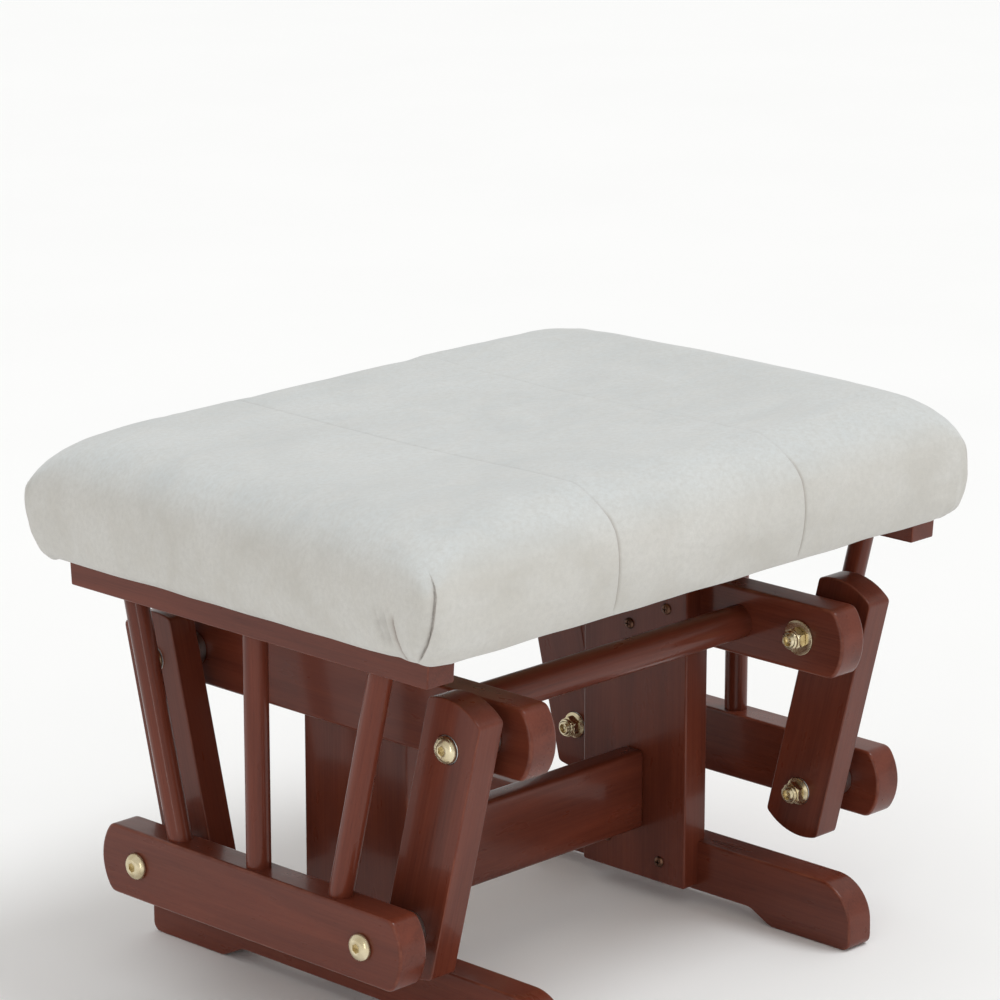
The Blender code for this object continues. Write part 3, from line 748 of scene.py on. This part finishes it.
def screw(name, seat, hand, outwards, y, z, nodes=()):
    """A pan-head screw with a cross recess. seat is the wood's face, and outwards is 1 when the screw is
    driven away from the middle, or -1."""
    head, top = 0.0042, -0.0022
    profile = [(top, 0), (top, 0.0021), (top + 0.0003, 0.0029), (top + 0.0008, 0.0036)]
    profile += [(top + 0.0014, 0.0040), (-0.0003, head), (0.0, head), (0.0002, head - 0.0006)]
    profile += [(0.004, 0.0019), (0.008, 0)]
    points, faces = rings_about_x(profile, 40)
    points = [(hand * (seat + outwards * x), py + y, pz + z) for x, py, pz in points]
    obj = mesh_object(name, points, faces, "bronzed_screw")
    above, deep, long, narrow = 0.001, 0.0013, 0.0021, 0.00048
    faces_x = sorted(hand * (seat + outwards * x) for x in (top - above, top + deep))
    quads = [(0, 1, 3, 2), (4, 6, 7, 5), (0, 4, 5, 1), (2, 3, 7, 6), (0, 2, 6, 4), (1, 5, 7, 3)]
    cutters = []
    for wide, tall in ((long, narrow), (narrow, long)):
        corners = [(x, y + wide * a, z + tall * b) for x in faces_x for a in (-1, 1) for b in (-1, 1)]
        cutters.append(mesh_object("slot", corners, quads, "bronzed_screw"))
    bore(obj, cutters)
    settle(obj, "base", nodes)


def add_screws():
    """Screws on each pedestal's inner face, and two from outside into each end of the stretcher."""
    for side, hand in SIDES.items():
        inner, outer = reach_of(f"pedestal_{side}")
        nodes = [f"pedestal_screw_{side}_{place}" for place in ("front", "middle")]
        places = [centre_of(node) for node in nodes]
        for node, place in zip(nodes, places):
            screw(f"{node}_head", inner, hand, 1, place.y, place.z, [node])
        pitch = places[1].y - places[0].y
        screw(f"pedestal_screw_{side}_rear_head", inner, hand, 1, places[1].y + pitch, places[0].z)
        for number, y in enumerate((-0.026, 0.026)):
            screw(f"foot_screw_{side}_{number}", inner, hand, 1, y, 0.030 + 0.008 * number)
        for number, z in enumerate((0.066, 0.098)):
            screw(f"stretcher_screw_{side}_{number}", outer, hand, -1, 0, z)


# ---------------------------------------------------------------- under the seat board


def add_hem(end, sign):
    """The cover's turned-under edge: a wavy strip of cloth between the top rails, stapled to the board."""
    low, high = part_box("seat_board")
    rail_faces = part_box("top_rail_left")[1].x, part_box("top_rail_right")[0].x
    half = min(abs(x) for x in rail_faces) - 0.002
    top, thick = low.z - 0.0001, 0.0009
    edge, deep, columns, rows = high.y, 0.034, 120, 10
    points, faces = [], []
    for layer in (0, 1):
        for row in range(rows + 1):
            for column in range(columns + 1):
                x = -half + 2 * half * column / columns
                wave = noise.noise(Vector((x * 30, sign * 5.0, 0)))
                reach = deep * row / rows * (1 + 0.14 * wave)
                sag = 0.0005 * abs(noise.noise(Vector((x * 60, reach * 90, sign)))) * (row > 0)
                points.append((x, sign * (edge - reach), top - layer * thick - layer * sag))
    wide = columns + 1
    sheet = wide * (rows + 1)
    for row in range(rows):
        for column in range(columns):
            a = row * wide + column
            faces.append((a, a + 1, a + wide + 1, a + wide))
            faces.append((sheet + a, sheet + a + wide, sheet + a + wide + 1, sheet + a + 1))
    rim = list(range(wide)) + [row * wide + columns for row in range(1, rows + 1)]
    rim += [rows * wide + column for column in range(columns - 1, -1, -1)]
    rim += [row * wide for row in range(rows - 1, 0, -1)]
    for a, b in zip(rim, rim[1:] + rim[:1]):
        faces.append((a, b, sheet + b, sheet + a))
    hem = mesh_object(f"cushion_hem_{end}", points, faces, "cushion_fabric")
    hem.data.set_sharp_from_angle(angle=math.radians(60))
    settle(hem, "deck")
    shift = random.Random(sign)
    count = 13
    for number in range(count):
        x = -half + 2 * half * (number + 0.5) / count + shift.uniform(-0.004, 0.004)
        y = sign * (edge - 0.021 + shift.uniform(-0.003, 0.003))
        add_staple(f"staple_{end}_{number}", x, y, top - thick - 0.0004, shift.uniform(-0.35, 0.35))


def add_staple(name, x, y, z, turn):
    """The crown of a staple, bent down into the cloth at both ends."""
    half, sink = 0.0055, 0.0012
    bend = [(-half, sink), (-half, 0.0003), (-half + 0.0006, -0.0003)]
    path = [Vector((along, 0, rise)) for along, rise in bend + [(0, -0.0004)]]
    path += [Vector((-along, 0, rise)) for along, rise in reversed(bend)]
    points = []
    sides, radius = 8, 0.00045
    for i, here in enumerate(path):
        run = (path[min(i + 1, len(path) - 1)] - path[max(i - 1, 0)]).normalized()
        across = Vector((-run.z, 0, run.x))
        for k in range(sides):
            angle = math.tau * k / sides
            spot = here + across * radius * math.cos(angle) + Vector((0, radius * 1.3 * math.sin(angle), 0))
            place = Vector((spot.x * math.cos(turn) - spot.y * math.sin(turn), 0, spot.z))
            place.y = spot.x * math.sin(turn) + spot.y * math.cos(turn)
            points.append(place + Vector((x, y, z)))
    faces = tube_faces(len(path), sides)
    settle(mesh_object(name, points, faces, "bearing_steel"), "deck")


# ---------------------------------------------------------------- the cushion

# The padded cover's form. Its box differs by a few millimetres from the plain cushion's.
SEAT_LOW, SEAT_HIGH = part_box("cushion")
PAD_LOW = SEAT_LOW + Vector((-0.0026, 0.0032, 0.0006))
PAD_HIGH = SEAT_HIGH + Vector((-0.0014, 0.0046, -0.0012))
PAD_WIDEST = SEAT_LOW.z + 0.040
TUCK_IN = 0.0096
SHOULDER = 0.0385
CORNER_RADIUS = 0.0138
SEAMS = (-0.105, 0.080)
SEAM_GROOVE = 0.0010
DISH = 0.0028
HANG = 0.0020
HANG_START = max(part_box("top_rail_left")[1].y, -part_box("top_rail_left")[0].y) - 0.001


def rounded_ring(inset, radius, z, steps=8):
    ring = []
    for quarter in range(4):
        corner_x = PAD_HIGH.x - inset - radius if quarter in (0, 3) else PAD_LOW.x + inset + radius
        corner_y = PAD_HIGH.y - inset - radius if quarter in (0, 1) else PAD_LOW.y + inset + radius
        for i in range(steps + 1):
            angle = math.radians(90 * (quarter + i / steps))
            ring.append((corner_x + radius * math.cos(angle), corner_y + radius * math.sin(angle), z))
    return ring


def pad_form(slack):
    """The pad before its cover pulls tight: tucked in below, widest at half height, rounded over on top."""
    levels = []
    below, above, growth_above = 6, 14, 1.25
    for i in range(below + 1):
        angle = math.pi / 2 * i / below
        z = PAD_LOW.z + (PAD_WIDEST - PAD_LOW.z) * (1 - math.cos(angle))
        levels.append((TUCK_IN * (1 - math.sin(angle)), z, 1.0))
    for i in range(1, above + 1):
        angle = math.pi / 2 * i / above
        z = PAD_WIDEST + (PAD_HIGH.z - PAD_WIDEST - slack) * math.sin(angle)
        levels.append((SHOULDER * (1 - math.cos(angle)), z, growth_above))
    points = []
    for inset, z, growth in levels:
        points += rounded_ring(inset + slack, CORNER_RADIUS + growth * inset, z)
    faces = tube_faces(len(levels), len(points) // len(levels))
    return mesh_object("cushion_cover", points, faces, "cushion_fabric")


def remesh(obj, size):
    made = obj.modifiers.new("remesh", "REMESH")
    made.mode = "VOXEL"
    made.voxel_size = size
    bpy.context.view_layer.update()
    apply_modifiers(obj)


def inflate(obj, limit):
    """Blows the cover up against its own stiffness, held at the seat board and lightly along the seams."""
    frames, fade, seam_width = 20, 0.03, 0.006
    start = coordinates(obj.data)
    outwards = mesh_normals(obj.data)
    held = obj.vertex_groups.new(name="held")
    low = PAD_LOW.z + 0.006
    for i, (x, _, z) in enumerate(start):
        weight = 1.0 if z < low else max(0.0, 1 - (z - low) / fade) * 0.4
        nearest = min(abs(x - seam) for seam in SEAMS)
        weight = max(weight, 0.25 * math.exp(-((nearest / seam_width) ** 2)))
        held.add([i], weight, "REPLACE")
    cloth = obj.modifiers.new("cloth", "CLOTH")
    settings = cloth.settings
    settings.quality = 5
    settings.mass = 0.3
    settings.use_pressure = True
    settings.uniform_pressure_force = 4
    settings.vertex_group_mass = "held"
    settings.effector_weights.gravity = 0
    scene = bpy.context.scene
    scene.frame_start, scene.frame_end = 1, frames
    cloth.point_cache.frame_start, cloth.point_cache.frame_end = 1, frames
    for step in range(1, frames + 1):
        scene.frame_set(step)
    apply_modifiers(obj)
    obj.vertex_groups.clear()
    moved = coordinates(obj.data) - start
    length = np.linalg.norm(moved, axis=1)
    share = limit * np.tanh(length / limit) / np.maximum(length, 1e-9)
    share *= np.where((moved * outwards).sum(1) < 0, 0.2, 1.0)
    set_coordinates(obj.data, start + moved * share[:, None])
    scene.frame_set(1)


def bell(distance, width):
    return np.exp(-((distance / width) ** 2))


def ramp(value, low, high):
    share = np.clip((value - low) / (high - low), 0, 1)
    return share * share * (3 - 2 * share)


def overlap(side):
    """Height in millimetres across a fold: cloth sinks from the left and slips under the right edge."""
    return np.where(side < 0, -1.7 * np.exp(side / 2.6), 0.7 * np.exp(-side / 9.0))


def fold_shade(side, line):
    """How dark a fold looks: a thin line, and a soft shade on the cloth that slips under."""
    under = 0.40 * np.exp(np.minimum(side, 0) / 2.2) * (side < 0)
    return np.maximum(np.exp(-np.abs(side) / line), under)


def along_curve(u, z, curve):
    """Signed distance to a curve drawn on the unrolled cover, positive to its right going down, and how far
    down the curve the nearest place is, from 0 to 1."""
    u, z = u[:, None], z[:, None]
    a, b = np.array(curve[:-1]), np.array(curve[1:])
    run = b - a
    size = (run**2).sum(1)
    share = np.clip(((u - a[:, 0]) * run[:, 0] + (z - a[:, 1]) * run[:, 1]) / size, 0, 1)
    off_u, off_z = u - a[:, 0] - run[:, 0] * share, z - a[:, 1] - run[:, 1] * share
    distance = np.hypot(off_u, off_z)
    nearest = distance.argmin(1)
    rows = np.arange(len(nearest))
    side = np.sign(off_z * run[:, 0] - off_u * run[:, 1])[rows, nearest]
    lengths = np.concatenate([[0], np.cumsum(np.sqrt(size))])
    place = (lengths[nearest] + share[rows, nearest] * np.sqrt(size)[nearest]) / lengths[-1]
    return distance[rows, nearest] * np.where(side == 0, 1, side), place


# Folds at a corner, drawn on the unrolled cover in millimetres: around the corner from its upright edge,
# and up from the rails' underside. Negative distances lie on the cushion's left or right end.
EDGE_FOLD = [(0, 84), (4, 79), (7, 74), (8, 68), (7, 60), (5, 48), (1, 37), (-4, 28), (-9, 21)]
END_FOLD = [(-30, 55), (-29, 47), (-26, 38), (-22, 30), (-17, 24), (-13, 19)]
SOFT_FOLDS = [[(-50, 62), (-47, 50), (-41, 36), (-36, 26)], [(-41, 60), (-39, 47), (-34, 33), (-29, 25)]]
FOLD_REACH = 110

# Each corner's way along X and Y, and how many millimetres its lower edge is drawn in.
CORNERS = {(-1, -1): 1.0, (1, -1): -5.0, (-1, 1): 1.0, (1, 1): 2.5}
MIRRORED_CORNER = (-1, 1)
PLEATED_CORNER = (1, -1)
RAIL_UNDERSIDE = PAD_LOW.z - 0.0199


def corner_places(points, sign_x, sign_y):
    """Distance round the corner from its upright edge, height above the rails' underside, and the distance
    from the corner along both faces together, all in millimetres."""
    edge_x = PAD_HIGH.x - points[:, 0] if sign_x > 0 else points[:, 0] - PAD_LOW.x
    edge_y = PAD_HIGH.y - points[:, 1] if sign_y > 0 else points[:, 1] - PAD_LOW.y
    if (sign_x, sign_y) == MIRRORED_CORNER:
        edge_x, edge_y = edge_y, edge_x
    return (edge_x - edge_y) / MM, (points[:, 2] - RAIL_UNDERSIDE) / MM, (edge_x + edge_y) / MM


def corner_shift(number):
    """How far round its corner a set of folds is moved, in millimetres, and how deep it is."""
    shift = random.Random(40 + number)
    return (0.0, 1.0) if number == 0 else (shift.uniform(-3, 3), shift.uniform(0.85, 1.1))


def folds_at(corner, u, z):
    """How far out the folds at a corner move the cover, in millimetres, and how much painted shade each
    place gets in a fold.
    """
    side, place = along_curve(u, z, EDGE_FOLD)
    run = ramp(place, 0.0, 0.30) * (1 - ramp(place, 0.86, 1.0))
    part = run * overlap(side)
    part += 1.4 * run * bell(side + 10.0, 6.0)
    dark = run * fold_shade(side, 0.32)
    side, place = along_curve(u, z, END_FOLD)
    run = ramp(place, 0.0, 0.22) * (1 - ramp(place, 0.72, 0.92))
    part += 0.8 * run * overlap(side)
    part -= 1.0 * run * bell(side + 6.0, 5.0)
    run = ramp(place, 0.0, 0.22) * (1 - ramp(place, 0.86, 1.0))
    dark = np.maximum(dark, run * fold_shade(side + 1.9, 1.2))
    for curve in SOFT_FOLDS:
        side, place = along_curve(u, z, curve)
        run = ramp(place, 0.0, 0.5) * (1 - ramp(place, 0.70, 0.95))
        part -= 2.6 * run * bell(side, 1.9)
        part += 1.5 * run * bell(side - 4.0, 2.4)
        dark = np.maximum(dark, 0.16 * run * bell(side, 1.3))
    if corner == PLEATED_CORNER:
        for at, deep in ((14.0, 1.3), (27.0, 1.0)):
            part -= deep * bell(u - at - 0.08 * (z - 40), 4.5) * ramp(z, 80, 45)
    return part, dark


def fold_corners(points, normals):
    """Moves the cover at each corner, where its spare cloth is folded into a tongue and pulled under the
    board. Returns the new points and the painted shade of the folds at each one."""
    # depth here holds the painted shade of the folds at each point.
    depth = np.zeros(len(points))
    moved = np.zeros(len(points))
    inward = np.zeros_like(points)
    for number, (corner, draw) in enumerate(CORNERS.items()):
        shift, size = corner_shift(number)
        u, z, reach = corner_places(points, *corner)
        near = reach < FOLD_REACH
        part, dark = folds_at(corner, u[near] - shift, z[near])
        moved[near] += part * size * MM
        depth[near] = np.maximum(depth[near], dark * size)
        low = np.clip((PAD_WIDEST - points[near, 2]) / (PAD_WIDEST - PAD_LOW.z), 0, 1) ** 1.2
        pull = draw * MM * low * bell(reach[near], 55.0)
        for axis in (0, 1):
            inward[near, axis] -= corner[axis] * pull * 0.7
    upright = ramp(PAD_HIGH.z - points[:, 2], 0.0, 0.012)
    return points + normals * (moved * upright)[:, None] + inward, depth


def sew_seams(points, normals):
    """Draws the cover in along its seams, with small puckers beside them and a step in the lower edge. The
    seams are tight down the front and rear and nearly flat over the top. Also returns painted shade along
    each seam groove."""
    moved = np.zeros(len(points))
    depth = np.zeros(len(points))
    out = points.copy()
    height = (points[:, 2] - PAD_LOW.z) / (PAD_HIGH.z - PAD_LOW.z)
    above = ramp(points[:, 2], PAD_LOW.z + 0.001, PAD_LOW.z + 0.006)
    upright = 1 - ramp(normals[:, 2], 0.35, 0.95)
    for seam, top_share in zip(SEAMS, (0.32, 0.16)):
        tight = (top_share + (1 - top_share) * upright) * above
        off = points[:, 0] - seam
        ripple = np.zeros(len(points))
        for i in np.flatnonzero(np.abs(off) < 0.03):
            ripple[i] = noise.noise(Vector((seam * 70, points[i, 1] * 75, points[i, 2] * 75)))
        moved -= SEAM_GROOVE * bell(off, 0.0009) * tight
        moved -= 0.0006 * bell(off, 0.0055) * tight
        moved += (0.0002 + 0.0007 * ripple) * bell(np.abs(off) - 0.010, 0.006) * tight
        # Painted shade: the seam groove is marked dark.
        depth = np.maximum(depth, bell(off, 0.0008) * tight)
        hang = np.exp(np.minimum(off, 0) / 0.008) * (off < 0) * ramp(-height, -0.25, -0.03)
        out[:, 2] -= 0.0012 * hang * (height > 0.01)
        on_front = upright * (points[:, 1] < 0)
        out[:, 0] += 0.0065 * on_front * bell(off, 0.05)
    return out + normals * moved[:, None], depth


def ruffle(points, normals):
    """Broad unevenness of foam under cloth, a dished top that is fuller at the right and rear, and a wavy
    lower edge that hangs between the top rails."""
    swell = [noise.noise(Vector(p * 14)) + 0.5 * noise.noise(Vector(p * 31)) for p in points]
    wave = [noise.noise(Vector((x * 22, y * 22, 3.0))) for x, y, _ in points]
    x, y, z = points.T
    level = normals[:, 2]
    low = ramp(-z, -PAD_LOW.z - 0.012, -PAD_LOW.z)
    out = points + normals * (0.0008 * np.array(swell) * (1 - 0.7 * low))[:, None]
    out[:, 2] += 0.0009 * np.array(wave) * low
    out[:, 2] -= HANG * low * ramp(np.abs(y), HANG_START, HANG_START + 0.008)
    at_right = ramp(x, 0.16, 0.23)
    at_rear = ramp(y, 0.10, 0.16) * ramp(x, -0.14, -0.06)
    fuller = np.maximum(0.0032 * at_right * bell(y, 0.15), 0.0018 * at_rear * (1 - 0.8 * at_right))
    out[:, 2] += fuller * ramp(level, 0.15, 0.6)
    out[:, 2] -= DISH * bell(x, 0.17) * bell(y, 0.12) * ramp(level, 0.3, 0.9)
    return out


def near_a_fold(points, within):
    """Which points are close enough to a sharp fold to need a finer mesh."""
    found = np.zeros(len(points), bool)
    for number, corner in enumerate(CORNERS):
        shift, _ = corner_shift(number)
        u, z, reach = corner_places(points, *corner)
        for curve in (EDGE_FOLD, END_FOLD):
            side, _ = along_curve(u - shift, z, curve)
            found |= (np.abs(side) < within) & (reach < FOLD_REACH)
    return found


def refine(obj):
    """Adds rows of points beside each seam and splits the faces around the sharp folds."""
    bm = bmesh.new()
    bm.from_mesh(obj.data)
    for seam in SEAMS:
        for offset in (-0.004, -0.0018, -0.0008, 0.0, 0.0008, 0.0018, 0.004):
            geometry = bm.verts[:] + bm.edges[:] + bm.faces[:]
            place = (seam + offset, 0, 0)
            bmesh.ops.bisect_plane(bm, geom=geometry, dist=0.00015, plane_co=place, plane_no=(1, 0, 0))
    for within in (6.5, 3.0, 1.4):
        points = np.array([vert.co for vert in bm.verts])
        near = near_a_fold(points, within)
        bm.verts.index_update()
        edges = [edge for edge in bm.edges if near[edge.verts[0].index] or near[edge.verts[1].index]]
        bmesh.ops.subdivide_edges(bm, edges=edges, cuts=1, use_grid_fill=True)
    bm.to_mesh(obj.data)
    bm.free()


def add_cushion():
    slack = 0.0008
    obj = pad_form(slack)
    remesh(obj, 0.006)
    inflate(obj, 0.0022)
    made = obj.modifiers.new("smooth", "SUBSURF")
    made.levels = made.render_levels = 1
    bpy.context.view_layer.update()
    apply_modifiers(obj)
    refine(obj)
    mesh = obj.data
    set_coordinates(mesh, ruffle(coordinates(mesh), mesh_normals(mesh)))
    folded, fold_painted_shade = fold_corners(coordinates(mesh), mesh_normals(mesh))
    set_coordinates(mesh, folded)
    sewn, seam_painted_shade = sew_seams(coordinates(mesh), mesh_normals(mesh))
    set_coordinates(mesh, sewn)
    # Painted shade: folds at full strength, seams at 0.6 strength.
    crease = mesh.attributes.new("crease", "FLOAT", "POINT")
    crease.data.foreach_set("value", np.maximum(fold_painted_shade, seam_painted_shade * 0.6).astype(np.float32))
    # Painted top light: how far each point's face turns up, for the paler, cooler top colour.
    upward = mesh.attributes.new("upward", "FLOAT", "POINT")
    upward.data.foreach_set("value", ramp(mesh_normals(mesh)[:, 2], 0.15, 0.85).astype(np.float32))
    mesh.materials.clear()
    mesh.materials.append(LOOKS["cushion_fabric"])
    mesh.shade_smooth()
    settle(obj, "deck", ["cushion"])


def add_floor():
    points = [(-20, -20, 0), (20, -20, 0), (20, 20, 0), (-20, 20, 0)]
    LOOKS["floor"] = pale_floor()
    floor = mesh_object("floor", points, [(0, 1, 2, 3)], "floor")


def main():
    add_camera()
    add_studio()
    add_floor()
    add_nosed_boards()
    add_top_rails()
    add_plain_boards()
    add_feet()
    add_swing_arms()
    add_rods()
    add_pivots()
    add_screws()
    for end, sign in ENDS.items():
        add_hem(end, sign)
    add_cushion()


main()
